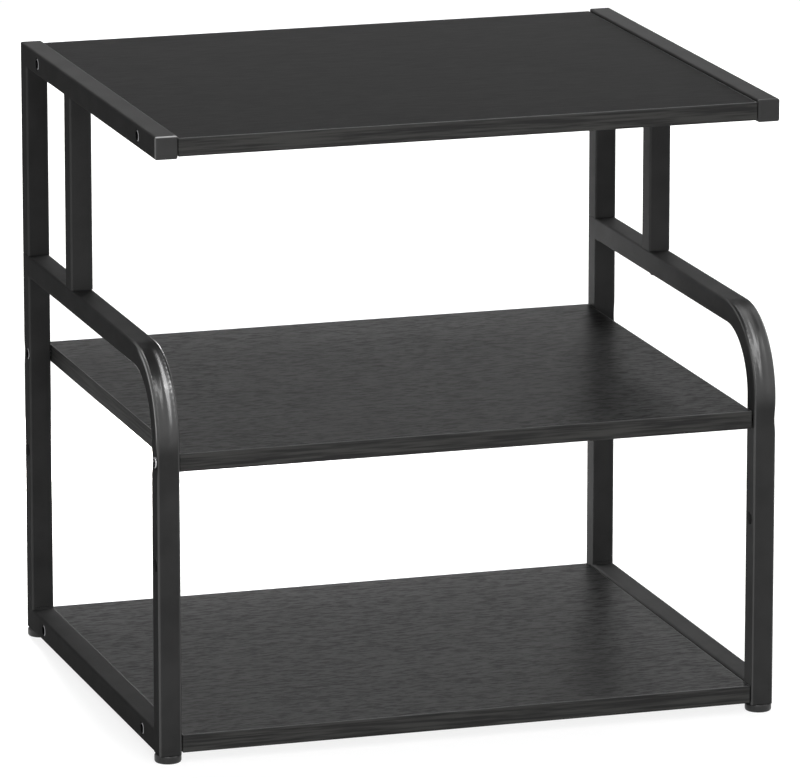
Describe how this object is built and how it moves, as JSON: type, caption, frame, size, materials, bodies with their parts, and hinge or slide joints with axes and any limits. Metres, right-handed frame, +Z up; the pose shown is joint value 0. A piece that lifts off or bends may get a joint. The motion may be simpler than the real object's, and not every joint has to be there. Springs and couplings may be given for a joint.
{
  "type": "printer stand",
  "caption": "Open printer stand: black square-tube side frames with bent front legs carry a top panel and wood-grain shelves above screw-in levelling feet.",
  "frame": {"origin": "on the floor under the centre of the stand", "axes": "+X to the right seen from the front, +Y to the rear, +Z up; the open bays face -Y and +Y"},
  "size_m": [0.5634, 0.4536, 0.55],
  "materials": {
    "powder_coated_steel": "black powder coat, satin",
    "laminated_board": "particle board with black wood-grain laminate, satin",
    "edge_band": "black edge band, satin",
    "black_steel": "black zinc on steel",
    "black_plastic": "moulded black plastic",
    "zinc_plated_steel": "bright zinc on steel"
  },
  "bodies": {
    "stand": {"left_rear_lower_post": "powder_coated_steel", "left_bottom_rail": "powder_coated_steel", "left_bent_leg": "powder_coated_steel", "left_rear_upper_post": "powder_coated_steel", "left_short_post": "powder_coated_steel", "left_top_rail": "powder_coated_steel", "left_rail_cap": "black_plastic", "left_post_sleeve": "powder_coated_steel", "left_joining_bolt": "black_steel", "left_joining_plug": "zinc_plated_steel", "right_rear_lower_post": "powder_coated_steel", "right_bottom_rail": "powder_coated_steel", "right_bent_leg": "powder_coated_steel", "right_rear_upper_post": "powder_coated_steel", "right_short_post": "powder_coated_steel", "right_top_rail": "powder_coated_steel", "right_rail_cap": "black_plastic", "right_post_sleeve": "powder_coated_steel", "right_joining_bolt": "black_steel", "right_joining_plug": "zinc_plated_steel", "top_panel": "laminated_board", "top_panel_edge_bands": "edge_band", "top_panel_bolts": "black_steel", "top_panel_inserts": "zinc_plated_steel", "middle_shelf": "laminated_board", "middle_shelf_edge_bands": "edge_band", "middle_shelf_bolts": "black_steel", "middle_shelf_inserts": "zinc_plated_steel", "bottom_shelf": "laminated_board", "bottom_shelf_edge_bands": "edge_band", "bottom_shelf_bolts": "black_steel", "bottom_shelf_inserts": "zinc_plated_steel", "front_left_foot_plug": "black_plastic", "front_right_foot_plug": "black_plastic", "rear_left_foot_plug": "black_plastic", "rear_right_foot_plug": "black_plastic"},
    "front_left_stud": {"front_left_foot_stud": "zinc_plated_steel"},
    "front_left_pad": {"front_left_foot_pad": "black_plastic"},
    "front_right_stud": {"front_right_foot_stud": "zinc_plated_steel"},
    "front_right_pad": {"front_right_foot_pad": "black_plastic"},
    "rear_left_stud": {"rear_left_foot_stud": "zinc_plated_steel"},
    "rear_left_pad": {"rear_left_foot_pad": "black_plastic"},
    "rear_right_stud": {"rear_right_foot_stud": "zinc_plated_steel"},
    "rear_right_pad": {"rear_right_foot_pad": "black_plastic"}
  },
  "joints": [
    {"name": "front_left_foot_height", "type": "slide", "parent": "stand", "child": "front_left_stud", "axis": [0, 0, -1], "range_m": [0, 0.01001]},
    {"name": "front_left_foot_turn", "type": "hinge", "parent": "front_left_stud", "child": "front_left_pad", "pos_m": [-0.27, -0.215, 0], "axis": [0, 0, -1], "range_deg": [0, 2880]},
    {"name": "front_right_foot_height", "type": "slide", "parent": "stand", "child": "front_right_stud", "axis": [0, 0, -1], "range_m": [0, 0.01001]},
    {"name": "front_right_foot_turn", "type": "hinge", "parent": "front_right_stud", "child": "front_right_pad", "pos_m": [0.27, -0.215, 0], "axis": [0, 0, -1], "range_deg": [0, 2880]},
    {"name": "rear_left_foot_height", "type": "slide", "parent": "stand", "child": "rear_left_stud", "axis": [0, 0, -1], "range_m": [0, 0.01001]},
    {"name": "rear_left_foot_turn", "type": "hinge", "parent": "rear_left_stud", "child": "rear_left_pad", "pos_m": [-0.27, 0.215, 0], "axis": [0, 0, -1], "range_deg": [0, 2880]},
    {"name": "rear_right_foot_height", "type": "slide", "parent": "stand", "child": "rear_right_stud", "axis": [0, 0, -1], "range_m": [0, 0.01001]},
    {"name": "rear_right_foot_turn", "type": "hinge", "parent": "rear_right_stud", "child": "rear_right_pad", "pos_m": [0.27, 0.215, 0], "axis": [0, 0, -1], "range_deg": [0, 2880]}
  ],
  "couplings": [
    {"joint": "front_left_foot_height", "follows": "front_left_foot_turn", "m_per_rad": 0.00019894},
    {"joint": "front_right_foot_height", "follows": "front_right_foot_turn", "m_per_rad": 0.00019894},
    {"joint": "rear_left_foot_height", "follows": "rear_left_foot_turn", "m_per_rad": 0.00019894},
    {"joint": "rear_right_foot_height", "follows": "rear_right_foot_turn", "m_per_rad": 0.00019894}
  ]
}
